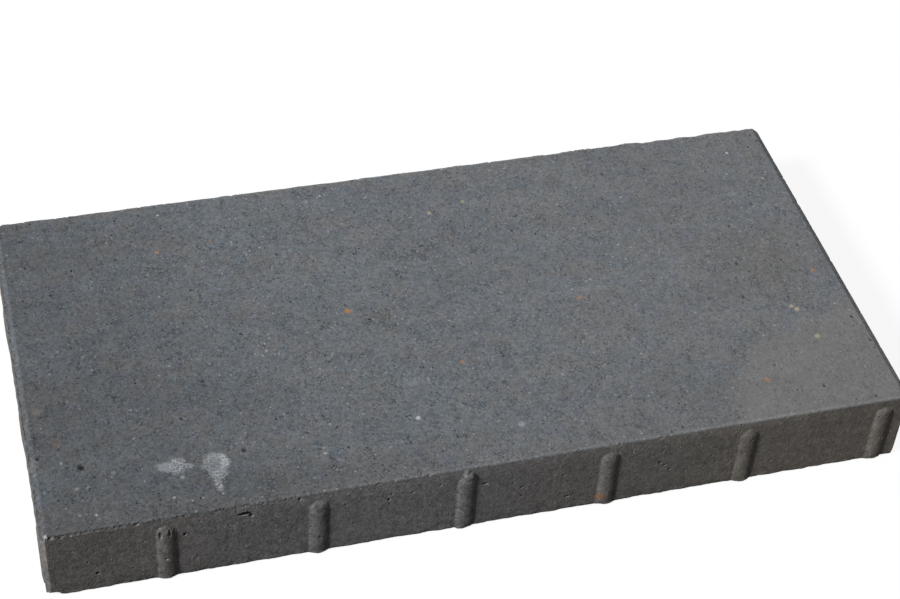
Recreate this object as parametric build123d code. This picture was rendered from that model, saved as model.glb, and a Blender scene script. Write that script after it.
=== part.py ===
from build123d import *
import os

# A concrete paving slab pressed in a mould, lying on its bed face.
# Millimetres. X runs along the length, Y across the width and Z up.
# The origin is at the middle of the bed face.

# Slab
length = 600.0
width = 300.0
thickness = 60.0
corner_bevel = 3.0        # upright corners of the mould
end_bevel_run = 4.7       # flat bevels on the top edges of the short ends, along the top face
end_bevel_drop = 2.5      # and the same bevels down the ends
side_arris_radius = 1.0   # top edges of the two long sides
bed_edge_radius = 2.0     # bottom edges all round

# Spacer nibs: upright ribs with a rounded tip, cast on all four sides
nib_width = 13.5
nib_depth = 2.0           # how far a nib stands out from its side
nib_pitch = 100.6
nib_corner_gap = 17.5     # from the last nib on a side to the corner it comes near
nib_tip_drop = 7.5        # from the top face down to a nib's tip


def section_along():
    """The slab seen from the front: a rectangle on the bed face with its two top corners bevelled."""
    end = length / 2
    bevel_start = end - end_bevel_run
    bevel_foot = thickness - end_bevel_drop
    half = Polyline((0, 0), (end, 0), (end, bevel_foot), (bevel_start, thickness), (0, thickness))
    return Plane.XZ * make_face([half, mirror(half, about=Plane.YZ)])


def section_across():
    """The slab seen from an end: a rectangle on the bed face with its two top corners rounded."""
    block = Rectangle(width, thickness, align=(Align.CENTER, Align.MIN))
    top_corners = block.vertices().group_by(Axis.Y)[-1]
    return Plane.YZ * fillet(top_corners, side_arris_radius)


def slab_body():
    """The block: its plan outline, trimmed by the section along it and the section across it."""
    outline = Rectangle(length, width)
    outline = chamfer(outline.vertices(), corner_bevel)
    block = extrude(outline, amount=thickness)
    bed_edges = block.faces().sort_by(Axis.Z).first.edges()
    block = fillet(bed_edges, bed_edge_radius)
    along = extrude(section_along(), amount=width, both=True)
    across = extrude(section_across(), amount=length, both=True)
    return block & along & across


def nib():
    """One nib on a side that faces -Y: a bow-shaped rib that ends in a round tip."""
    half_width = nib_width / 2
    tip_centre = thickness - nib_tip_drop - half_width
    foot = bed_edge_radius
    left = (-half_width, 0)
    right = (half_width, 0)
    crest = (0, -nib_depth)
    bow = ThreePointArc(left, crest, right)
    rib_profile = make_face([bow, Line(right, left)])
    rib = extrude(Pos(0, 0, foot) * rib_profile, amount=tip_centre - foot)
    tip_profile = make_face([bow.trim(0.5, 1), Line(right, (0, 0)), Line((0, 0), crest)])
    outward = Axis((0, 0, 0), (0, -1, 0))
    tip = revolve(tip_profile, outward, 180)
    return rib + Pos(0, 0, tip_centre) * tip


def side_places(span, reach):
    """Where nibs stand on a side that faces -Y, is span long and lies reach from the middle."""
    count = int((span - 2 * nib_corner_gap) // nib_pitch) + 1
    last = span / 2 - nib_corner_gap
    return [Pos(last - nib_pitch * step, -reach, 0) for step in range(count)]


def all_nibs():
    """The nibs of the four sides. Going round, each side ends with a nib near its corner."""
    one_nib = nib()
    long_side = side_places(length, width / 2)
    short_end = side_places(width, length / 2)
    sides = [(0, long_side), (90, short_end), (180, long_side), (270, short_end)]
    return [Rot(0, 0, turn) * place * one_nib for turn, places in sides for place in places]


paving_stone = slab_body() + all_nibs()
paving_stone.label = "paving_stone"

os.makedirs("parts", exist_ok=True)
export_step(paving_stone, "parts/paving_stone.step")
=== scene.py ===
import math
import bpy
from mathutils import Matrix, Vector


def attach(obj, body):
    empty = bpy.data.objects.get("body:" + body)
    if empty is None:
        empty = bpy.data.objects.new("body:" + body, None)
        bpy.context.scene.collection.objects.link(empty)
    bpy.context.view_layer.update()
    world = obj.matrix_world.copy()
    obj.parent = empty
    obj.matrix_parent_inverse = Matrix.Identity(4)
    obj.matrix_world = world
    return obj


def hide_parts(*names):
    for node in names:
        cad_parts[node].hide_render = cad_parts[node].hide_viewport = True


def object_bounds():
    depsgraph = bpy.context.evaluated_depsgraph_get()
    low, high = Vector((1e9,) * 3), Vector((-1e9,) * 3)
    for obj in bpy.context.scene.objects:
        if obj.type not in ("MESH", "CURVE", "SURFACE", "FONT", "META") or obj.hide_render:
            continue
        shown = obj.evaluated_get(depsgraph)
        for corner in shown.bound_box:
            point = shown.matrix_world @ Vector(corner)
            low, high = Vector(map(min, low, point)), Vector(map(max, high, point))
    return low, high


bl_info = {
    "name": "Concrete Paving Stone",
    "version": (1, 0, 0),
    "blender": (4, 5, 0),
    "location": "View3D > Sidebar > Paving",
    "description": "Models a pressed concrete paving slab with spacer nibs, worn edges and a speckled face",
    "category": "Add Mesh",
}

from functools import reduce

import bmesh
import bpy
from mathutils import Matrix, Vector

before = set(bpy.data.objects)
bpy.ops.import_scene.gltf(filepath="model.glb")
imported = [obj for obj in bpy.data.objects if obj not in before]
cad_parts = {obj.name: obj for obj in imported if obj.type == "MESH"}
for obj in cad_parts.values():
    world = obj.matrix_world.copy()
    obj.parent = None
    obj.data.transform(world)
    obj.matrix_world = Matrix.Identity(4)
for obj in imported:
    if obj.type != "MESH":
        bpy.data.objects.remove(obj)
CAD_LOW, CAD_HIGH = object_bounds()

MM = 0.001
NODE = "paving_stone"
PIECE = "paving_stone_concrete"
BODY = "root"
NIB_DEPTH = 2.0 * MM
SLAB_LENGTH = CAD_HIGH.x - CAD_LOW.x - 2 * NIB_DEPTH
SLAB_WIDTH = CAD_HIGH.y - CAD_LOW.y - 2 * NIB_DEPTH
SLAB_THICKNESS = CAD_HIGH.z - CAD_LOW.z
ROUND_SEGMENTS = 96       # round a whole nib's ball
BED_EDGE_SEGMENTS = 4
SIDE_ARRIS_CUTS = 3
LUMP_UNEVENNESS = 0.25    # share of a lump's smallest half size

# Voids in the front face, in mm: middle along the slab, middle above the bed, width, height, depth
FRONT_VOIDS = [
    (-169, 51.5, 10.5, 3.2, 3.4),
    (-165, 49, 4, 3.6, 1.4),
    (-266, 16.5, 3.0, 3.0, 2.0),
    (-208.5, 41, 2.6, 3.4, 1.6),
    (-293, 58.5, 4, 3, 1.2),
    (-287, 58, 4, 3.5, 1.6),
    (-281, 58.5, 3, 2.5, 1.3),
    (-276.5, 58.5, 3, 2.5, 1.2),
    (-239, 58.5, 4, 2.5, 1.4),
    (-133, 57, 2.5, 3, 1.4),
    (-102, 44, 2.2, 2.2, 1.2),
    (-73, 42, 2.4, 3.0, 1.5),
    (-71, 47, 2.0, 2.2, 1.2),
    (-57, 45, 2.6, 2.2, 1.0),
    (-38, 48, 2.0, 2.6, 1.2),
    (-7, 42, 4.2, 2.2, 2.0),
    (19.5, 31.5, 2.0, 2.6, 1.2),
    (20, 23, 2.0, 2.2, 1.1),
    (33, 43, 3.2, 1.5, 1.0),
    (48.5, 37, 1.8, 2.6, 1.1),
    (53, 14, 5.4, 2.0, 1.2),
    (118, 33, 2.4, 3.0, 1.3),
    (122, 30, 2.2, 2.2, 1.1),
    (126, 25, 2.5, 2.5, 1.3),
    (138, 21, 2.0, 2.4, 1.1),
    (202, 16, 1.9, 2.6, 1.1),
    (-295.5, -0.5, 12, 9, 5.0),
    (-290.5, -0.5, 7, 3.6, 3.0),
]

# Tears in the tip of the first nib, in the same numbers, cut from the nib's crest
NIB_TEARS = [
    (-220.5, 51, 14, 7, 1.3),
    (-224.5, 45, 2.5, 9, 2.4),
    (-218.5, 46.5, 2, 7, 2.2),
    (-215.5, 47, 1.8, 6, 2.2),
]

# Lumps of concrete that cling to the third nib's tip, in the same numbers
NIB_LUMPS = [
    (-18.5, 52, 8, 9, 2.4),
    (-20, 56.5, 4, 4, 1.5),
    (-17, 49, 3.0, 4.5, 2.1),
]

# Pits in the top face, in mm: middle along the slab, middle across it, width, depth
TOP_PITS = [
    (-266.5, -96, 5.5, 1.2),
    (-196, -67, 3.4, 1.0),
    (-160.5, -103, 4.4, 1.1),
    (-92, -115, 3.2, 1.0),
    (290.5, -67.5, 3.6, 1.1),
    (-102, 79, 3.0, 1.0),
    (-284, -121, 2.4, 0.9),
    (-293, -83, 3.4, 1.0),
    (224, -128, 2.6, 0.9),
    (244, -128, 3.8, 0.9),
    (217, -102, 2.8, 0.9),
    (228, 2.5, 4.0, 0.9),
    (263, 63, 4.0, 0.8),
    (280.5, 13, 3.6, 0.8),
    (237, 42.5, 3.6, 0.8),
]

# Brown stains on the top face: middle along the slab, middle across it, half length, half width,
# size and reach of the waves in the outline, all in mm, and strength
BROWN_STAINS = [
    (-44, 1, 14, 10, 9, 9, 1.0),
    (248, 2, 58, 52, 18, 24, 1.0),
    (-294, -45, 22, 65, 12, 8, 0.6),
]

# Specks in the top face: middle along the slab, middle across it, width, all in mm, and strength
RUST_SPECKS = [
    (-187, 98, 3.4, 0.8),
    (-65, 11, 5.4, 0.75),
    (102, -9, 3.6, 0.65),
    (2, -54, 3.6, 0.55),
    (206, -114, 3.8, 0.7),
    (281, -15.5, 3.8, 0.7),
    (-147, 103, 2.6, 0.4),
]
# The same for sandstone grains
TAN_SPECKS = [
    (46, 109, 3.2, 0.7),
    (18, 101, 3.8, 0.7),
    (250.5, -48.5, 4.0, 0.75),
    (253.5, -52, 4.2, 0.85),
    (257.5, -81, 4.4, 0.75),
    (24, -54, 2.0, 0.4),
]
# The same for quartz grains and pale pebbles
WHITE_SPECKS = [
    (-180, 138, 2.2, 0.65),
    (-58, 136, 2.0, 0.6),
    (-26, 127, 1.8, 0.5),
    (-113, 89, 2.0, 0.55),
    (265, 124, 2.6, 0.75),
    (282, 90, 2.0, 0.65),
    (166, 90, 2.0, 0.65),
    (-41, -99, 3.8, 0.75),
    (-109, -117, 2.6, 0.45),
    (26, -119, 5.4, 0.3),
    (-204, -118, 3.4, 0.35),
    (-212, -134, 2.4, 0.45),
    (-201, -139, 1.8, 0.4),
    (-194, -138, 1.8, 0.4),
    (-181, -137, 2.0, 0.45),
    (-262.5, -138, 2.0, 0.55),
    (-272, -114, 3.0, 0.25),
    (-265, -114, 2.6, 0.25),
    (-279, -90, 2.6, 0.3),
    (-247, -105, 3.0, 0.2),
    (-230, -78, 2.6, 0.25),
    (-298, -148.5, 4.6, 0.9),
    (-296, -150, 3.2, 0.6),
]


def length_property(name, description, default):
    return bpy.props.FloatProperty(
        name=name, description=description, default=default,
        min=0.0, subtype="DISTANCE", unit="LENGTH", precision=5
    )


def colour_property(name, description, default):
    return bpy.props.FloatVectorProperty(
        name=name, description=description, default=default, size=3, min=0.0, max=1.0, subtype="COLOR"
    )


def angle_property(name, description, degrees):
    return bpy.props.FloatProperty(
        name=name, description=description, default=math.radians(degrees), subtype="ANGLE"
    )


class SlabSizes(bpy.types.PropertyGroup):
    """Sizes of the pressed slab and its nibs"""

    length: length_property("Length", "Slab length over its end faces", SLAB_LENGTH)
    width: length_property("Width", "Slab width over its long faces", SLAB_WIDTH)
    thickness: length_property("Thickness", "From the bed face to the top face", SLAB_THICKNESS)
    corner_bevel: length_property("Corner bevel", "Bevel of the upright corners", 3 * MM)
    end_bevel_run: length_property("End bevel run", "End bevels, measured along the top face", 4.7 * MM)
    end_bevel_drop: length_property("End bevel drop", "End bevels, measured down the end", 2.5 * MM)
    side_arris: length_property("Side arris", "Rounding of the top edge along both sides", 1 * MM)
    bed_edge: length_property("Bed edge", "Rounding of the bottom edge all round", 2 * MM)
    nib_width: length_property("Nib width", "Width of a spacer nib at its foot", 13.5 * MM)
    nib_depth: length_property("Nib depth", "How far a nib stands out of its side", NIB_DEPTH)
    nib_pitch: length_property("Nib pitch", "From one nib to the next", 100.6 * MM)
    nib_corner_gap: length_property("Nib corner gap", "From the last nib of a side to its corner", 17.5 * MM)
    nib_tip_drop: length_property("Nib tip drop", "From the top face down to a nib's tip", 7.5 * MM)
    nib_foot: length_property("Nib foot", "From the bed face up to a nib's lower end", 1 * MM)


class WearSizes(bpy.types.PropertyGroup):
    """Sizes of the roughness that pressing and handling leave"""

    grain: length_property("Grain", "Width of the smallest dent that the mesh can hold", 0.6 * MM)
    chip_depth: length_property("Chip depth", "Deepest chip along a top edge", 1.0 * MM)
    rim_pit_depth: length_property("Rim pit depth", "Deepest pit along a top edge", 0.9 * MM)
    ragged_height: length_property("Ragged height", "How far the back edge stands proud at most", 1.0 * MM)
    crumble_depth: length_property("Crumble depth", "Most that a bottom edge wanders", 0.6 * MM)
    pore_depth: length_property("Pore depth", "Deepest pore in a face", 1.0 * MM)
    rubbed_share: bpy.props.FloatProperty(
        name="Rubbed share", description="Part of their depth that the left nibs have lost",
        default=0.45, min=0.0, max=1.0, subtype="FACTOR"
    )
    smooth_angle: angle_property("Smooth angle", "Sharpest crease that is shaded smooth", 20)
    triangles: bpy.props.IntProperty(
        name="Triangles", description="Most triangles that the finished slab may have",
        default=190000, min=1000
    )


class ConcreteColours(bpy.types.PropertyGroup):
    """Colours of the concrete and of the marks on it"""

    cool_face: colour_property("Cool face", "Bluish grey of the pressed top face", (0.139, 0.156, 0.174))
    warm_face: colour_property("Warm face", "Browner grey of the pressed top face", (0.153, 0.155, 0.160))
    dry_face: colour_property("Dry face", "Paler grey of the dry corner", (0.172, 0.172, 0.171))
    side: colour_property("Side", "Grey of the upright faces", (0.175, 0.170, 0.169))
    brown_side: colour_property("Brown side", "Browner grey near the ends", (0.184, 0.168, 0.150))
    rust: colour_property("Rust", "Iron specks and the stain at a nib", (0.42, 0.19, 0.07))
    tan: colour_property("Tan", "Sandstone grains", (0.42, 0.36, 0.26))
    white: colour_property("White", "Quartz grains and chips", (0.54, 0.56, 0.58))
    smudge: colour_property("Smudge", "Lime smudges", (0.46, 0.48, 0.51))
    stain: colour_property("Stain", "Brown stains on the top face", (0.142, 0.140, 0.136))


class StageSetup(bpy.types.PropertyGroup):
    """Floor, camera and light of the picture"""

    floor_size: length_property("Floor size", "Width of the floor", 8.0)
    floor_drop: length_property("Floor drop", "From the bed face down to the floor", 0.2 * MM)
    floor_shade: bpy.props.FloatProperty(
        name="Floor shade", description="Grey that the camera sees the lamps light", default=0.12, min=0.0
    )
    floor_glow: bpy.props.FloatProperty(
        name="Floor glow", description="White that the camera sees without lamps", default=0.90, min=0.0
    )
    floor_bounce: bpy.props.FloatProperty(
        name="Floor bounce", description="Share of light that the floor throws back", default=0.08, min=0.0
    )
    azimuth: angle_property("Azimuth", "Camera's turn round the slab", -17.913)
    elevation: angle_property("Elevation", "Camera's height above the horizon", 43.907)
    roll: angle_property("Roll", "Camera's lean to one side", 4.411)
    distance: length_property("Distance", "From the camera to the point it looks at", 1538.5 * MM)
    target: bpy.props.FloatVectorProperty(
        name="Target", description="Point on the floor that the camera looks at",
        default=(28.73 * MM, 67.13 * MM, 0.0), subtype="XYZ", unit="LENGTH"
    )
    lens: bpy.props.FloatProperty(
        name="Lens", description="Focal length on a 36 mm wide sensor", default=81.08, unit="CAMERA"
    )
    light_distance: length_property("Light distance", "From a lamp to the slab", 12.0)
    key_size: length_property("Key size", "Diameter of the main lamp", 2.4)
    key_azimuth: angle_property("Key azimuth", "Main lamp's turn round the slab", -71)
    key_elevation: angle_property("Key elevation", "Main lamp's height above the horizon", 41)
    key_power: bpy.props.FloatProperty(
        name="Key power", description="Power of the main lamp", default=1630.0, unit="POWER"
    )
    fill_size: length_property("Fill size", "Diameter of the lamp behind", 7.0)
    fill_azimuth: angle_property("Fill azimuth", "Back lamp's turn round the slab", 170)
    fill_elevation: angle_property("Fill elevation", "Back lamp's height above the horizon", 22)
    fill_power: bpy.props.FloatProperty(
        name="Fill power", description="Power of the lamp behind", default=570.0, unit="POWER"
    )
    room_light: bpy.props.FloatProperty(
        name="Room light", description="Light that comes from all round", default=0.10, min=0.0
    )


# Helpers for modelling


def make_active(obj):
    """Select one object and nothing else."""
    bpy.ops.object.select_all(action="DESELECT")
    obj.select_set(True)
    bpy.context.view_layer.objects.active = obj


def start_edit(obj, mode):
    make_active(obj)
    bpy.ops.object.mode_set(mode="EDIT")
    bpy.ops.mesh.select_mode(type=mode)
    bpy.ops.mesh.select_all(action="DESELECT")


def end_edit():
    bpy.ops.object.mode_set(mode="OBJECT")


def apply_place(obj):
    """Put the object's place, turn and scale into its mesh."""
    make_active(obj)
    bpy.ops.object.transform_apply(location=True, rotation=True, scale=True)


def select_edges(obj, test):
    """Select the edges of the mesh in edit mode whose two ends pass the test."""
    mesh = bmesh.from_edit_mesh(obj.data)
    for edge in mesh.edges:
        edge.select_set(test(edge.verts[0].co, edge.verts[1].co))
    bmesh.update_edit_mesh(obj.data)


def trim(point, normal, fill=True):
    """Cut the mesh in edit mode by a plane and take away what lies beyond it."""
    bpy.ops.mesh.select_all(action="SELECT")
    bpy.ops.mesh.bisect(plane_co=point, plane_no=Vector(normal).normalized(), use_fill=fill, clear_outer=True)


def apply_modifier(obj, kind, **settings):
    make_active(obj)
    modifier = obj.modifiers.new(kind.title(), kind)
    for name, value in settings.items():
        setattr(modifier, name, value)
    bpy.ops.object.modifier_apply(modifier=modifier.name)


def join_into(obj, others):
    make_active(obj)
    for other in others:
        other.select_set(True)
    bpy.ops.object.join()


def triangle_count(obj):
    obj.data.calc_loop_triangles()
    return len(obj.data.loop_triangles)


# The slab


def round_top_edge(outward, reach, height, radius, cuts):
    """Plane a top edge to a round by cuts that touch the round."""
    side = Vector(outward)
    up = Vector((0, 0, 1))
    middle = side * (reach - radius) + up * (height - radius)
    for cut in range(cuts):
        angle = math.radians(90) * (cut + 0.5) / cuts
        facing = side * math.cos(angle) + up * math.sin(angle)
        trim(middle + facing * radius, facing)


def model_block(sizes):
    bpy.ops.object.select_all(action="DESELECT")
    bpy.ops.mesh.primitive_cube_add(
        size=1.0, location=(0, 0, sizes.thickness / 2), scale=(sizes.length, sizes.width, sizes.thickness)
    )
    block = bpy.context.object
    block.name = PIECE
    block.data.name = PIECE
    apply_place(block)
    start_edit(block, "EDGE")
    select_edges(block, lambda a, b: abs(a.z - b.z) > sizes.thickness / 2)
    bpy.ops.mesh.bevel(offset=sizes.corner_bevel, segments=1, affect="EDGES")
    bpy.ops.mesh.select_all(action="DESELECT")
    select_edges(block, lambda a, b: max(a.z, b.z) < sizes.bed_edge / 2)
    bpy.ops.mesh.bevel(offset=sizes.bed_edge, segments=BED_EDGE_SEGMENTS, affect="EDGES")
    for outward in (1, -1):
        bevel_start = (outward * (sizes.length / 2 - sizes.end_bevel_run), 0, sizes.thickness)
        trim(bevel_start, (outward * sizes.end_bevel_drop, 0, sizes.end_bevel_run))
    for outward in ((0, 1, 0), (0, -1, 0)):
        round_top_edge(outward, sizes.width / 2, sizes.thickness, sizes.side_arris, SIDE_ARRIS_CUTS)
    end_edit()
    return block


def model_nib(sizes):
    """One nib on a side that faces -Y and passes through the origin."""
    half_width = sizes.nib_width / 2
    radius = (half_width ** 2 + sizes.nib_depth ** 2) / (2 * sizes.nib_depth)
    tip_middle = sizes.thickness - sizes.nib_tip_drop - half_width
    sunk = 1 * MM  # how far the nib reaches into the slab
    bpy.ops.object.select_all(action="DESELECT")
    bpy.ops.mesh.primitive_uv_sphere_add(
        segments=ROUND_SEGMENTS, ring_count=ROUND_SEGMENTS // 2,
        radius=radius, location=(0, radius - sizes.nib_depth, tip_middle)
    )
    nib = bpy.context.object
    apply_place(nib)
    start_edit(nib, "EDGE")
    trim((0, 0, tip_middle), (0, 0, -1), fill=False)
    bpy.ops.mesh.select_all(action="DESELECT")
    select_edges(nib, lambda a, b: max(a.z, b.z) < tip_middle + sunk / 10)
    bpy.ops.mesh.extrude_region_move(TRANSFORM_OT_translate={"value": (0, 0, sizes.nib_foot - tip_middle)})
    bpy.ops.mesh.edge_face_add()
    trim((0, sunk, 0), (0, 1, 0))
    end_edit()
    return nib


def nib_places(sizes):
    """Each nib's place on the slab, going round its four sides."""
    sides = [(sizes.length, sizes.width), (sizes.width, sizes.length)] * 2
    for turn, (span, depth) in enumerate(sides):
        count = int((span - 2 * sizes.nib_corner_gap) / sizes.nib_pitch) + 1
        for step in range(count):
            along = span / 2 - sizes.nib_corner_gap - sizes.nib_pitch * step
            turned = Matrix.Rotation(math.radians(90) * turn, 4, "Z")
            yield turned @ Matrix.Translation((along, -depth / 2, 0))


def copy_nibs(nib, places):
    """Copies of the nib, each with its own mesh, joined as one object."""
    copies = []
    for place in places:
        copy = nib.copy()
        copy.data = nib.data.copy()
        copy.matrix_world = place
        bpy.context.collection.objects.link(copy)
        copies.append(copy)
    bpy.data.objects.remove(nib)
    bpy.context.view_layer.update()
    join_into(copies[0], copies[1:])
    apply_place(copies[0])
    return copies[0]


def rough_lump(middle, half_size, seed):
    """A small ball with uneven sides."""
    bpy.ops.object.select_all(action="DESELECT")
    bpy.ops.mesh.primitive_ico_sphere_add(subdivisions=3, radius=1.0, location=middle, scale=half_size)
    lump = bpy.context.object
    apply_place(lump)
    start_edit(lump, "VERT")
    bpy.ops.mesh.select_all(action="SELECT")
    bpy.ops.transform.vertex_random(offset=LUMP_UNEVENNESS * min(half_size), seed=seed)
    end_edit()
    return lump


def front_lumps(marks, reach):
    """Rough balls on a plane that faces -Y and lies reach from the middle of the slab."""
    lumps = []
    for seed, (along, above, wide, tall, deep) in enumerate(marks):
        middle = (along * MM, -reach, above * MM)
        lumps.append(rough_lump(middle, (wide / 2 * MM, deep * MM, tall / 2 * MM), seed))
    return lumps


def top_lumps(marks, height):
    """Rough balls on the level of the top face."""
    lumps = []
    for seed, (along, across, wide, deep) in enumerate(marks):
        middle = (along * MM, across * MM, height)
        lumps.append(rough_lump(middle, (wide / 2 * MM, wide / 2 * MM, deep * MM), seed))
    return lumps


def weld(slab, others, operation):
    """Add other closed meshes to the slab or carve them away."""
    join_into(others[0], others[1:])
    apply_place(others[0])
    apply_modifier(slab, "BOOLEAN", object=others[0], operation=operation, solver="EXACT", use_self=True)
    bpy.data.objects.remove(others[0])


# Node trees


class NodeSheet:
    """Writes nodes into a tree, one call for each node or small group of nodes."""

    def __init__(self, tree):
        self.tree = tree

    def node(self, kind, **settings):
        made = self.tree.nodes.new(kind)
        for name, value in settings.items():
            setattr(made, name, value)
        return made

    def feed(self, socket, value):
        if isinstance(value, bpy.types.NodeSocket):
            self.tree.links.new(value, socket)
        elif socket.type == "RGBA":
            socket.default_value = (*value[:3], 1.0)
        else:
            socket.default_value = value

    def math(self, operation, first, second=0.0):
        made = self.node("ShaderNodeMath", operation=operation)
        self.feed(made.inputs[0], first)
        self.feed(made.inputs[1], second)
        return made.outputs[0]

    def add(self, *values):
        return reduce(lambda first, second: self.math("ADD", first, second), values)

    def times(self, *values):
        return reduce(lambda first, second: self.math("MULTIPLY", first, second), values)

    def most(self, *values):
        return reduce(lambda first, second: self.math("MAXIMUM", first, second), values)

    def least(self, *values):
        return reduce(lambda first, second: self.math("MINIMUM", first, second), values)

    def minus(self, first, second):
        return self.math("SUBTRACT", first, second)

    def swing(self, value, amount):
        """A 0 to 1 value, centred on 0 and scaled so that its full range is the amount."""
        return self.times(self.minus(value, 0.5), amount)

    def vector(self, operation, first, second=(0, 0, 0)):
        made = self.node("ShaderNodeVectorMath", operation=operation)
        self.feed(made.inputs[0], first)
        self.feed(made.inputs["Scale" if operation == "SCALE" else 1], second)
        return made.outputs["Value" if operation in ("LENGTH", "DISTANCE") else "Vector"]

    def reach(self, first, second):
        """Length of the long side of a right triangle."""
        pair = self.node("ShaderNodeCombineXYZ")
        self.feed(pair.inputs[0], first)
        self.feed(pair.inputs[1], second)
        return self.vector("LENGTH", pair.outputs[0])

    def step(self, value, low, high):
        """Rises smoothly from 0 at low to 1 at high, and falls where low is above high."""
        made = self.node("ShaderNodeMapRange", interpolation_type="SMOOTHSTEP")
        self.feed(made.inputs["Value"], value)
        self.feed(made.inputs["From Min"], low)
        self.feed(made.inputs["From Max"], high)
        return made.outputs["Result"]

    def mix(self, share, first, second):
        """A blend of two colours."""
        made = self.node("ShaderNodeMix", data_type="RGBA")
        self.feed(made.inputs["Factor"], share)
        first_socket, second_socket = [socket for socket in made.inputs if socket.type == "RGBA"]
        self.feed(first_socket, first)
        self.feed(second_socket, second)
        return [socket for socket in made.outputs if socket.type == "RGBA"][0]

    def noise_node(self, place, size, detail, roughness):
        made = self.node("ShaderNodeTexNoise")
        self.feed(made.inputs["Vector"], place)
        made.inputs["Scale"].default_value = 1 / size
        made.inputs["Detail"].default_value = detail
        made.inputs["Roughness"].default_value = roughness
        return made

    def noise(self, place, size, detail=2.0, roughness=0.5):
        return self.noise_node(place, size, detail, roughness).outputs["Fac"]

    def shake(self, place, size, amount):
        """The place, moved about by up to the amount."""
        colour = self.noise_node(place, size, 2.0, 0.5).outputs["Color"]
        offset = self.vector("SUBTRACT", colour, (0.5, 0.5, 0.5))
        return self.vector("ADD", place, self.vector("SCALE", offset, 2 * amount))

    def cells(self, place, size):
        """Distance to the middle of the nearest cell, in mm, and three random values for that cell."""
        made = self.node("ShaderNodeTexVoronoi")
        self.feed(made.inputs["Vector"], place)
        made.inputs["Scale"].default_value = 1 / size
        parts = self.node("ShaderNodeSeparateXYZ")
        self.feed(parts.inputs[0], made.outputs["Color"])
        return self.times(made.outputs["Distance"], size), parts.outputs

    def cracks(self, place, size):
        """Distance to the border between two cells, in mm."""
        made = self.node("ShaderNodeTexVoronoi", feature="DISTANCE_TO_EDGE")
        self.feed(made.inputs["Vector"], place)
        made.inputs["Scale"].default_value = 1 / size
        return self.times(made.outputs["Distance"], size)

    def oval(self, place, middle, half_size, outer=1.0, inner=0.8):
        """1 inside an oval and 0 outside, with a soft edge between two shares of its half size."""
        offset = self.vector("DIVIDE", self.vector("SUBTRACT", place, middle), half_size)
        return self.step(self.vector("LENGTH", offset), outer, inner)

    def spots(self, place, marks, level):
        """The strength of a round mark on a level inside it, and 0 outside."""
        masks = []
        for along, across, width, strength in marks:
            distance = self.vector("DISTANCE", place, (along, across, level))
            masks.append(self.times(self.step(distance, width * 0.6, width * 0.25), strength))
        return self.most(*masks)


class Where:
    """Sockets that tell where a place lies on the slab, in mm."""

    def __init__(self, sheet, place, sizes):
        parts = sheet.node("ShaderNodeSeparateXYZ")
        sheet.feed(parts.inputs[0], place)
        self.place = place
        self.along = parts.outputs["X"]
        self.across = parts.outputs["Y"]
        self.above = parts.outputs["Z"]
        self.top = sizes.thickness / MM
        self.front = -sizes.width / 2 / MM
        self.from_end = sheet.minus(sizes.length / 2 / MM, sheet.math("ABSOLUTE", self.along))
        self.from_side = sheet.minus(sizes.width / 2 / MM, sheet.math("ABSOLUTE", self.across))
        self.from_corner = sheet.minus(sheet.add(self.from_end, self.from_side), sizes.corner_bevel / MM)
        off_corner = sheet.times(self.from_corner, math.sqrt(0.5))
        self.from_rim = sheet.least(self.from_end, self.from_side, off_corner)
        bevel_slope = sizes.end_bevel_drop / sizes.end_bevel_run
        bevel_drop = sheet.times(sheet.minus(sizes.end_bevel_run / MM, self.from_end), bevel_slope)
        self.below_face = sheet.minus(sheet.minus(self.top, self.above), sheet.most(bevel_drop, 0.0))
        self.from_top_edge = sheet.most(self.from_rim, self.below_face)
        self.from_bed_edge = sheet.most(self.from_rim, self.above)


def pore_field(sheet, where):
    """Pores that lie in loose clusters in every face: 0 outside a pore, up to 1 at its middle."""
    distance, chance = sheet.cells(sheet.shake(where.place, 1.4, 1.4), 4.6)
    clusters = sheet.step(sheet.noise(where.place, 26.0), 0.35, 0.65)
    present = sheet.math("GREATER_THAN", chance["X"], sheet.minus(0.92, sheet.times(clusters, 0.22)))
    radius = sheet.add(0.5, sheet.times(chance["Y"], 0.9))
    share = sheet.add(0.4, sheet.times(chance["Z"], 0.6))
    return sheet.times(sheet.step(distance, radius, sheet.times(radius, 0.35)), present, share)


def rim_pit_field(sheet, place, sizes):
    """Ragged pits along the top edges, thickest at the left: 0 outside a pit, up to 1 at its middle."""
    where = Where(sheet, sheet.shake(place, 2.2, 0.6), sizes)
    short_end = sheet.math("LESS_THAN", where.from_end, where.from_side)
    off_line = sheet.reach(where.from_rim, sheet.minus(where.below_face, 0.4))
    band = sheet.step(off_line, 2.2, 0.5)
    enough = sheet.add(
        0.47,
        sheet.times(sheet.step(where.along, -230.0, -20.0), 0.16),
        sheet.times(short_end, -0.04),
        sheet.times(sheet.step(where.across, 100.0, 145.0), 0.14),
        sheet.swing(sheet.noise(place, 13.0), 0.35),
    )
    pits = sheet.step(sheet.noise(place, 4.6, 4.0, 0.65), enough, sheet.add(enough, 0.10))
    return sheet.times(pits, band)


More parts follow.
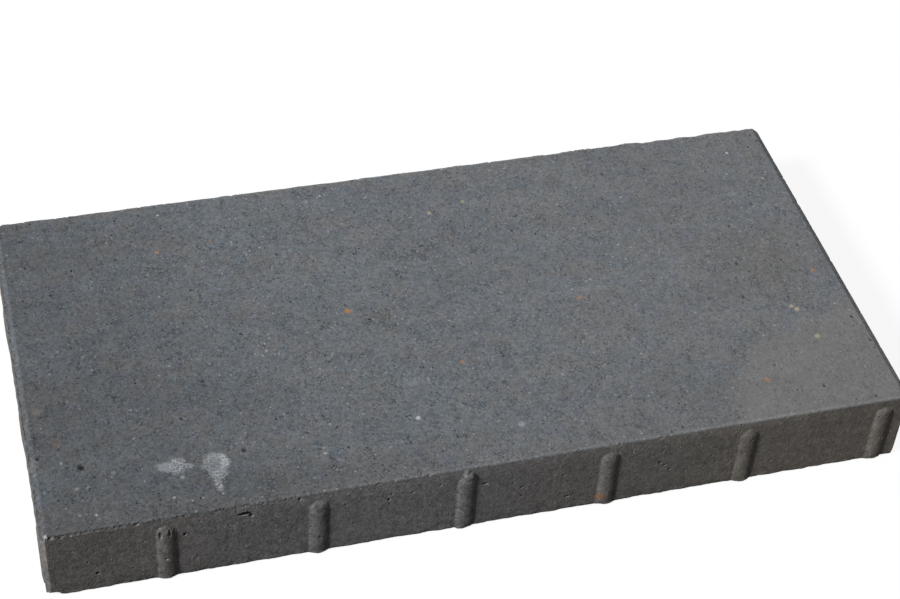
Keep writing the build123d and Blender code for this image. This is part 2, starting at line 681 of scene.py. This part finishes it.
def wear_tree(sizes, wear):
    """Geometry nodes that wear the mesh: chips, pits, pores, rubbed nibs and ragged or crumbled edges."""
    tree = bpy.data.node_groups.new("Concrete wear", "GeometryNodeTree")
    tree.interface.new_socket("Geometry", in_out="INPUT", socket_type="NodeSocketGeometry")
    tree.interface.new_socket("Geometry", in_out="OUTPUT", socket_type="NodeSocketGeometry")
    sheet = NodeSheet(tree)
    start = sheet.node("NodeGroupInput")
    end = sheet.node("NodeGroupOutput")
    place = sheet.vector("SCALE", sheet.node("GeometryNodeInputPosition").outputs[0], 1 / MM)
    where = Where(sheet, place, sizes)

    chips = sheet.times(
        sheet.step(sheet.noise(place, 2.6), 0.50, 0.70),
        sheet.step(sheet.noise(place, 14.0, 1.0), 0.50, 0.65),
        sheet.step(where.from_top_edge, 3.0, 0.3),
        -wear.chip_depth,
    )
    pits = sheet.times(rim_pit_field(sheet, place, sizes), -wear.rim_pit_depth)
    pores = sheet.times(pore_field(sheet, where), -wear.pore_depth)
    back = sheet.step(where.across, -where.front - 5.0, -where.front - 0.5)
    bumpier = sheet.add(0.4, sheet.times(sheet.step(where.along, 30.0, 190.0), 0.6))
    ragged = sheet.times(
        sheet.swing(sheet.noise(place, 14.0, 2.5), 4.0),
        sheet.times(back, sheet.step(where.below_face, 5.0, 0.5)),
        sheet.times(bumpier, wear.ragged_height),
    )
    crumble = sheet.times(
        sheet.swing(sheet.noise(place, 9.0, 3.0), 4.0),
        sheet.step(where.from_bed_edge, 6.0, 1.0),
        sheet.times(sheet.step(where.above, 0.0, 0.9), wear.crumble_depth),
    )
    beyond_left = sheet.most(sheet.minus(-sizes.length / 2 / MM, where.along), 0.0)
    lower_end = sheet.times(
        sheet.step(where.above, 30.0, 4.0),
        sheet.step(where.across, -110.0, -90.0),
        1 - wear.rubbed_share,
    )
    rubbed = sheet.node("ShaderNodeCombineXYZ")
    sheet.feed(rubbed.inputs["X"], sheet.times(beyond_left, sheet.add(wear.rubbed_share, lower_end), MM))

    relief = sheet.add(chips, pits, pores, ragged, crumble)
    outward = sheet.vector("SCALE", sheet.node("GeometryNodeInputNormal").outputs[0], relief)
    move = sheet.node("GeometryNodeSetPosition")
    sheet.feed(move.inputs["Geometry"], start.outputs[0])
    sheet.feed(move.inputs["Offset"], sheet.vector("ADD", outward, rubbed.outputs[0]))
    sheet.feed(end.inputs[0], move.outputs[0])
    return tree


def smudge_field(sheet, where):
    """Two mottled lime smudges and a scuff on the top face: 0 outside, up to 1 at the palest spots."""
    drift = sheet.shake(where.place, 5.0, 3.0)
    film = sheet.oval(drift, (-213.5, -107, where.top), (8, 5.5, 9), 1.1, 0.5)
    first = sheet.most(
        sheet.oval(drift, (-206, -107, where.top), (7.5, 8.5, 9), 1.1, 0.5),
        sheet.times(sheet.oval(drift, (-199, -109, where.top), (5, 3.5, 9), 1.1, 0.5), 0.8),
    )
    second = sheet.most(
        sheet.oval(drift, (-180.5, -110, where.top), (10, 9, 9), 1.1, 0.7),
        sheet.oval(drift, (-180.5, -118, where.top), (7, 7, 9), 1.1, 0.6),
        sheet.oval(drift, (-182, -128, where.top), (3.2, 8, 9), 1.1, 0.4),
    )
    hollow = sheet.oval(drift, (-182.5, -111, where.top), (6, 6, 9), 1.3, 0.3)
    bright = sheet.oval(drift, (-175, -109.5, where.top), (4.5, 6.5, 9), 1.3, 0.3)
    spots = sheet.step(sheet.noise(where.place, 1.5, 2.0, 0.6), 0.40, 0.64)
    spotted = sheet.times(
        sheet.add(0.15, sheet.times(spots, 0.54), sheet.times(bright, 0.25)),
        sheet.most(first, sheet.minus(second, sheet.times(hollow, 0.5))),
    )
    scuff = sheet.most(
        sheet.times(sheet.oval(drift, (-38, -66, where.top), (14, 4.5, 9), 1.1, 0.3), 0.12),
        sheet.times(sheet.oval(where.place, (-25.5, -66, where.top), (1.0, 3.5, 9), 1.2, 0.5), 0.35),
    )
    return sheet.most(spotted, sheet.times(film, 0.36), scuff)


def painted_hollow_shade(sheet, where):
    """Mask for painted shade in the hollows: 1 deep inside a void of a side or a pit of the top face, and 0
    on the faces themselves.
    """
    side_void = sheet.times(
        sheet.step(where.from_rim, 0.2, 1.0),
        sheet.step(where.below_face, 2.0, 3.5),
        sheet.step(where.above, 2.5, 4.0),
    )
    top_pit = sheet.times(
        sheet.step(where.below_face, 0.3, 1.1),
        sheet.step(where.from_rim, 3.5, 5.0),
        sheet.step(where.above, 40.0, 50.0),
    )
    return sheet.most(side_void, top_pit)


def stain_field(sheet, where):
    """Soft stains on the top face: 0 outside a stain, up to its strength at its middle."""
    masks = []
    for along, across, half_length, half_width, wave_size, wave_reach, strength in BROWN_STAINS:
        wavy = sheet.shake(where.place, wave_size, wave_reach)
        mask = sheet.oval(wavy, (along, across, where.top), (half_length, half_width, 30), 1.0, 0.1)
        masks.append(sheet.times(mask, strength))
    return sheet.most(*masks)


def face_colour(sheet, where, upright, clusters, dry, colours):
    """Colour without the grain: cool and warm patches, the dry corner, stains and the browner sides."""
    place = where.place
    stretched = sheet.vector("MULTIPLY", place, (0.5, 1, 1))
    hue = sheet.add(
        0.47,
        sheet.swing(sheet.noise(stretched, 30.0), 0.6),
        sheet.swing(sheet.noise(place, 13.0, 3.0), 0.9),
        sheet.times(clusters, -0.10),
        sheet.times(sheet.step(where.across, -105.0, -140.0), 0.10),
        sheet.times(sheet.step(where.from_side, 12.0, 2.0), 0.20),
        sheet.times(sheet.step(where.along, 0.0, 150.0), 0.12),
    )
    face = sheet.mix(sheet.step(hue, 0.25, 0.75), colours.cool_face, colours.warm_face)
    face = sheet.mix(dry, face, colours.dry_face)
    face = sheet.mix(sheet.times(stain_field(sheet, where), 0.65), face, colours.stain)
    brown = sheet.most(
        sheet.step(where.along, -20.0, 240.0),
        sheet.times(sheet.step(where.along, -160.0, -280.0), 0.3),
    )
    return sheet.mix(upright, face, sheet.mix(brown, colours.side, colours.brown_side))


def top_shade(sheet, where, level, dry):
    """What the top face is darker or lighter by: dark to the left and in front, and light to the right."""
    place = where.place
    slant = sheet.add(where.along, sheet.times(where.across, 0.4))
    ragged_edge = sheet.add(where.from_end, sheet.swing(sheet.noise(place, 3.0), 3.0))
    left_shade = sheet.times(
        sheet.step(slant, -40.0, -300.0),
        sheet.add(0.70, sheet.times(sheet.step(ragged_edge, 3.6, 5.4), 0.30)),
        sheet.times(level, -0.30),
    )
    front_shade = sheet.times(
        sheet.add(
            sheet.times(sheet.step(where.across, -100.0, -135.0), -0.06),
            sheet.times(sheet.oval(place, (-250, -130, where.top), (75, 50, 30), 1.3, 0.2), -0.02),
        ),
        sheet.minus(level, dry),
    )
    right_lift = sheet.times(
        sheet.step(where.along, 0.0, 120.0),
        sheet.step(where.across, -110.0, -40.0),
        sheet.times(sheet.minus(level, dry), 0.05),
    )
    dark_stain = sheet.oval(sheet.shake(place, 5.0, 4.0), (-46, 2, where.top), (13, 6, 9), 1.1, 0.2)
    return sheet.add(left_shade, front_shade, right_lift, sheet.times(dark_stain, -0.09))


def side_shade(sheet, where, upright):
    """What the sides are darker or lighter by: light below the top edge, dark at the left and low down, and a
    painted highlight on the upright corners.
    """
    place = where.place
    pale_side = sheet.times(
        sheet.step(where.below_face, 14.0, 3.0),
        sheet.step(where.from_end, 20.0, 130.0),
        0.22,
    )
    mid_side = sheet.times(sheet.step(sheet.math("ABSOLUTE", sheet.add(where.along, 68.0)), 60.0, 20.0), 0.10)
    end_side = sheet.times(sheet.step(where.along, -190.0, -290.0), -0.10)
    low_side = sheet.times(sheet.step(where.above, 14.0, 2.0), -0.12)
    # Painted highlight: the upright corner bevels are made lighter, standing in for the light they catch.
    painted_corner_highlight = sheet.times(sheet.step(where.from_corner, 1.6, 0.4), 0.12)
    streaks = sheet.swing(sheet.noise(sheet.vector("MULTIPLY", place, (1, 1, 0.12)), 1.8), 0.35)
    mottle = sheet.swing(sheet.noise(place, 6.0, 3.0), 0.75)
    dents = sheet.times(sheet.step(sheet.noise(place, 5.0, 3.0, 0.6), 0.56, 0.72), -0.25)
    shades = sheet.add(pale_side, mid_side, end_side, low_side, painted_corner_highlight, streaks, mottle, dents)
    return sheet.times(shades, upright)


class Grain:
    """Sockets for the grains of the concrete and for the gaps and holes between them."""

    def __init__(self, sheet, where, shaken, clusters):
        place = where.place
        self.clusters = clusters
        self.speckle = sheet.noise(place, 1.2, 3.0, 0.6)
        self.lumps = sheet.noise(place, 3.6, 2.0)
        self.flecks = sheet.step(sheet.noise(place, 1.7, 2.0, 0.6), 0.60, 0.78)
        self.crevices = sheet.step(sheet.noise(place, 2.1, 3.0, 0.6), 0.40, 0.26)
        self.squiggles = sheet.times(sheet.step(sheet.cracks(shaken, 2.8), 0.40, 0.08), clusters)
        self.grit_distance, self.grit = sheet.cells(place, 2.0)
        bead_distance, bead = sheet.cells(shaken, 4.0)
        bead_radius = sheet.add(0.4, sheet.times(bead["Y"], 0.9))
        self.beads = sheet.times(
            sheet.step(bead_distance, bead_radius, sheet.times(bead_radius, 0.5)),
            sheet.step(bead["X"], 0.35, 1.0),
        )
        hole_distance, hole = sheet.cells(shaken, 3.2)
        hole_radius = sheet.add(0.4, sheet.times(hole["Y"], 0.6))
        self.holes = sheet.times(
            sheet.step(hole_distance, hole_radius, sheet.times(hole_radius, 0.4)),
            sheet.step(hole["X"], 0.45, 1.0),
        )
        self.pores = pore_field(sheet, where)

    def shade(self, sheet, where, dry):
        """What the grain makes darker or lighter, most at the left and least on the dry corner."""
        grain = sheet.add(
            sheet.swing(self.speckle, 0.95),
            sheet.swing(self.lumps, 0.34),
            sheet.swing(self.grit["X"], 0.28),
            sheet.times(self.beads, 0.80),
            sheet.times(self.flecks, 0.45),
            sheet.times(self.crevices, -0.34),
            sheet.times(self.holes, -0.54),
            sheet.times(self.squiggles, -0.36),
            sheet.times(self.clusters, 0.06),
            # Painted shade inside the pores, which are also cut in the mesh.
            sheet.times(self.pores, -0.38),
        )
        return sheet.times(
            grain,
            sheet.minus(1.0, sheet.times(dry, 0.40)),
            sheet.minus(1.25, sheet.times(sheet.step(where.along, -100.0, 250.0), 0.25)),
        )

    def height(self, sheet):
        """The fine relief of the grain, in mm."""
        return sheet.add(
            sheet.swing(self.speckle, 0.30),
            sheet.times(self.grit_distance, -0.06),
            sheet.times(self.beads, 0.15),
            sheet.times(self.holes, -0.35),
            sheet.times(self.crevices, -0.20),
        )


def add_marks(sheet, where, shaken, colour, colours):
    """The colour with smudges, rust, sandstone grains and quartz grains on it."""
    place = where.place
    colour = sheet.mix(smudge_field(sheet, where), colour, colours.smudge)
    seeping = sheet.shake(place, 3.0, 3.5)
    rust = sheet.most(
        sheet.spots(shaken, RUST_SPECKS, where.top),
        sheet.times(sheet.oval(seeping, (77, where.front - 1, 9.5), (8, 6, 5), 1.0, 0.1), 0.5),
        sheet.times(sheet.oval(seeping, (-281, -72, where.top), (7, 6, 9), 1.0, 0.1), 0.07),
    )
    colour = sheet.mix(rust, colour, colours.rust)
    tan = sheet.most(
        sheet.spots(shaken, TAN_SPECKS, where.top),
        sheet.times(sheet.oval(seeping, (-289, -41, where.top), (6, 6, 9), 1.0, 0.1), 0.15),
    )
    colour = sheet.mix(tan, colour, colours.tan)
    white = sheet.spots(sheet.shake(place, 1.0, 1.0), WHITE_SPECKS, where.top)
    return sheet.mix(white, colour, colours.white)


def concrete_material(sizes, colours):
    material = bpy.data.materials.new("Pressed concrete")
    material.use_nodes = True
    sheet = NodeSheet(material.node_tree)
    shader = material.node_tree.nodes["Principled BSDF"]
    place = sheet.vector("SCALE", sheet.node("ShaderNodeTexCoord").outputs["Object"], 1 / MM)
    where = Where(sheet, place, sizes)
    upright = sheet.step(where.below_face, 0.8, 2.6)
    level = sheet.minus(1.0, upright)
    shaken = sheet.shake(place, 1.5, 0.8)
    clusters = sheet.times(sheet.step(sheet.noise(place, 8.0), 0.50, 0.64), level)
    dry = sheet.oval(sheet.shake(place, 20.0, 13.0), (300, -150, where.top), (128, 93, 40), 1.07, 0.93)
    dry = sheet.times(dry, level)
    grain = Grain(sheet, where, shaken, clusters)

    bands = sheet.swing(sheet.noise(sheet.vector("MULTIPLY", place, (0.3, 1, 1)), 24.0), 0.26)
    clouds = sheet.swing(sheet.noise(place, 11.0, 3.0), 0.28)
    shades = sheet.add(top_shade(sheet, where, level, dry), side_shade(sheet, where, upright))
    broad = sheet.add(1.0, bands, clouds, shades)
    rim = sheet.times(sheet.step(where.from_side, 3.2, 0.8), level, sheet.noise(place, 2.2), 0.45)
    # Painted shade: the pits along the top edges, which are also cut in the mesh, are made darker by up to
    # half.
    rim_pit_shade = sheet.times(rim_pit_field(sheet, place, sizes), -0.5)
    tone = sheet.times(broad, sheet.add(1.0, grain.shade(sheet, where, dry), rim, rim_pit_shade))
    # Painted shade: the voids and pits, which are also cut in the mesh, are darkened by up to three quarters.
    hollow = sheet.times(painted_hollow_shade(sheet, where), 0.75)
    tone = sheet.times(sheet.most(tone, 0.12), sheet.minus(1.0, hollow))

    colour = sheet.vector("SCALE", face_colour(sheet, where, upright, clusters, dry, colours), tone)
    sheet.feed(shader.inputs["Base Color"], add_marks(sheet, where, shaken, colour, colours))
    shader.inputs["Roughness"].default_value = 0.9
    shader.inputs["Specular IOR Level"].default_value = 0.1
    bump = sheet.node("ShaderNodeBump")
    bump.inputs["Distance"].default_value = MM
    sheet.feed(bump.inputs["Height"], grain.height(sheet))
    sheet.feed(shader.inputs["Normal"], bump.outputs[0])
    return material


# Operators


class PAVING_OT_cast_slab(bpy.types.Operator):
    """Model the slab with its bevels, the spacer nibs on its four sides and the larger voids"""

    bl_idname = "paving.cast_slab"
    bl_label = "Cast slab"

    def execute(self, context):
        sizes = context.scene.paving_sizes
        face = sizes.width / 2
        slab = model_block(sizes)
        weld(slab, [copy_nibs(model_nib(sizes), nib_places(sizes))], "UNION")
        weld(slab, front_lumps(NIB_LUMPS, face), "UNION")
        weld(slab, front_lumps(NIB_TEARS, face + sizes.nib_depth), "DIFFERENCE")
        weld(slab, front_lumps(FRONT_VOIDS, face) + top_lumps(TOP_PITS, sizes.thickness), "DIFFERENCE")
        return {"FINISHED"}


class PAVING_OT_wear_slab(bpy.types.Operator):
    """Give the slab ragged edges, chips and pores"""

    bl_idname = "paving.wear_slab"
    bl_label = "Wear slab"

    def execute(self, context):
        sizes = context.scene.paving_sizes
        wear = context.scene.paving_wear
        slab = bpy.data.objects[PIECE]
        apply_modifier(slab, "REMESH", mode="VOXEL", voxel_size=wear.grain)
        apply_modifier(slab, "NODES", node_group=wear_tree(sizes, wear))
        apply_modifier(slab, "DECIMATE", ratio=wear.triangles / triangle_count(slab))
        make_active(slab)
        bpy.ops.object.shade_smooth_by_angle(angle=wear.smooth_angle)
        apply_modifier(slab, "WEIGHTED_NORMAL", keep_sharp=True)
        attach(slab, BODY)
        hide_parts(NODE)
        return {"FINISHED"}


class PAVING_OT_paint_slab(bpy.types.Operator):
    """Give the slab its concrete finish"""

    bl_idname = "paving.paint_slab"
    bl_label = "Paint slab"

    def execute(self, context):
        slab = bpy.data.objects[PIECE]
        slab.data.materials.clear()
        material = concrete_material(context.scene.paving_sizes, context.scene.paving_colours)
        slab.data.materials.append(material)
        return {"FINISHED"}


def direction(azimuth, elevation):
    """From the slab towards something at a turn round it and a height above the horizon."""
    level = math.cos(elevation)
    return Vector((math.sin(azimuth) * level, -math.cos(azimuth) * level, math.sin(elevation)))


def add_lamp(name, facing, distance, size, power):
    data = bpy.data.lights.new(name, "AREA")
    data.shape = "DISK"
    data.size = size
    data.energy = power
    lamp = bpy.data.objects.new(name, data)
    lamp.location = facing * distance
    lamp.rotation_euler = (-facing).to_track_quat("-Z", "Y").to_euler()
    bpy.context.collection.objects.link(lamp)


def add_camera(stage):
    data = bpy.data.cameras.new("Camera")
    data.sensor_width = 36.0
    data.lens = stage.lens
    camera = bpy.data.objects.new("Camera", data)
    backward = direction(stage.azimuth, stage.elevation)
    camera.location = Vector(stage.target) + backward * stage.distance
    upright = (-backward).to_track_quat("-Z", "Y").to_matrix()
    camera.rotation_euler = (upright @ Matrix.Rotation(stage.roll, 3, "Z")).to_euler()
    bpy.context.collection.objects.link(camera)
    bpy.context.scene.camera = camera


def seen_by_camera(sheet):
    """1 for what the camera sees, also in a reflection or through glass, and 0 for light between surfaces."""
    path = sheet.node("ShaderNodeLightPath")
    return sheet.most(
        path.outputs["Is Camera Ray"], path.outputs["Is Glossy Ray"], path.outputs["Is Transmission Ray"]
    )


def grey(value):
    return (value, value, value, 1.0)


def floor_material(stage):
    material = bpy.data.materials.new("Pale floor")
    material.use_nodes = True
    tree = material.node_tree
    tree.nodes.clear()
    sheet = NodeSheet(tree)
    shown = sheet.node("ShaderNodeBsdfDiffuse")
    shown.inputs["Color"].default_value = grey(stage.floor_shade)
    lift = sheet.node("ShaderNodeEmission")
    lift.inputs["Strength"].default_value = stage.floor_glow
    both = sheet.node("ShaderNodeAddShader")
    sheet.feed(both.inputs[0], shown.outputs[0])
    sheet.feed(both.inputs[1], lift.outputs[0])
    hidden = sheet.node("ShaderNodeBsdfDiffuse")
    hidden.inputs["Color"].default_value = grey(stage.floor_bounce)
    choose = sheet.node("ShaderNodeMixShader")
    sheet.feed(choose.inputs[0], seen_by_camera(sheet))
    sheet.feed(choose.inputs[1], hidden.outputs[0])
    sheet.feed(choose.inputs[2], both.outputs[0])
    sheet.feed(sheet.node("ShaderNodeOutputMaterial").inputs["Surface"], choose.outputs[0])
    return material


def light_world(room_light):
    world = bpy.data.worlds.new("Studio")
    bpy.context.scene.world = world
    world.use_nodes = True
    tree = world.node_tree
    tree.nodes.clear()
    sheet = NodeSheet(tree)
    room = sheet.node("ShaderNodeBackground")
    room.inputs["Color"].default_value = grey(1.0)
    sheet.feed(room.inputs["Strength"], sheet.most(seen_by_camera(sheet), room_light))
    sheet.feed(sheet.node("ShaderNodeOutputWorld").inputs["Surface"], room.outputs[0])


class PAVING_OT_set_stage(bpy.types.Operator):
    """Lay the pale floor and set up the studio light and the camera"""

    bl_idname = "paving.set_stage"
    bl_label = "Set stage"

    def execute(self, context):
        stage = context.scene.paving_stage
        bpy.ops.object.select_all(action="DESELECT")
        bpy.ops.mesh.primitive_plane_add(size=stage.floor_size, location=(0, 0, -stage.floor_drop))
        floor = context.object
        floor.name = "floor"
        apply_place(floor)
        floor.data.materials.append(floor_material(stage))
        key = direction(stage.key_azimuth, stage.key_elevation)
        fill = direction(stage.fill_azimuth, stage.fill_elevation)
        add_lamp("Key", key, stage.light_distance, stage.key_size, stage.key_power)
        add_lamp("Fill", fill, stage.light_distance, stage.fill_size, stage.fill_power)
        light_world(stage.room_light)
        add_camera(stage)
        context.scene.view_settings.view_transform = "Standard"
        return {"FINISHED"}


class PAVING_PT_panel(bpy.types.Panel):
    """Steps that make the paving stone and its picture"""

    bl_idname = "PAVING_PT_panel"
    bl_label = "Paving stone"
    bl_space_type = "VIEW_3D"
    bl_region_type = "UI"
    bl_category = "Paving"

    def draw(self, context):
        for operator in OPERATORS:
            self.layout.operator(operator.bl_idname)


OPERATORS = (PAVING_OT_cast_slab, PAVING_OT_wear_slab, PAVING_OT_paint_slab, PAVING_OT_set_stage)
GROUPS = {
    "paving_sizes": SlabSizes,
    "paving_wear": WearSizes,
    "paving_colours": ConcreteColours,
    "paving_stage": StageSetup,
}


def register():
    for name, group in GROUPS.items():
        bpy.utils.register_class(group)
        setattr(bpy.types.Scene, name, bpy.props.PointerProperty(type=group))
    for operator in OPERATORS:
        bpy.utils.register_class(operator)
    bpy.utils.register_class(PAVING_PT_panel)


def unregister():
    bpy.utils.unregister_class(PAVING_PT_panel)
    for operator in reversed(OPERATORS):
        bpy.utils.unregister_class(operator)
    for name, group in reversed(GROUPS.items()):
        delattr(bpy.types.Scene, name)
        bpy.utils.unregister_class(group)


def main():
    register()
    bpy.ops.paving.cast_slab()
    bpy.ops.paving.wear_slab()
    bpy.ops.paving.paint_slab()
    bpy.ops.paving.set_stage()


if __name__ == "__main__":
    main()
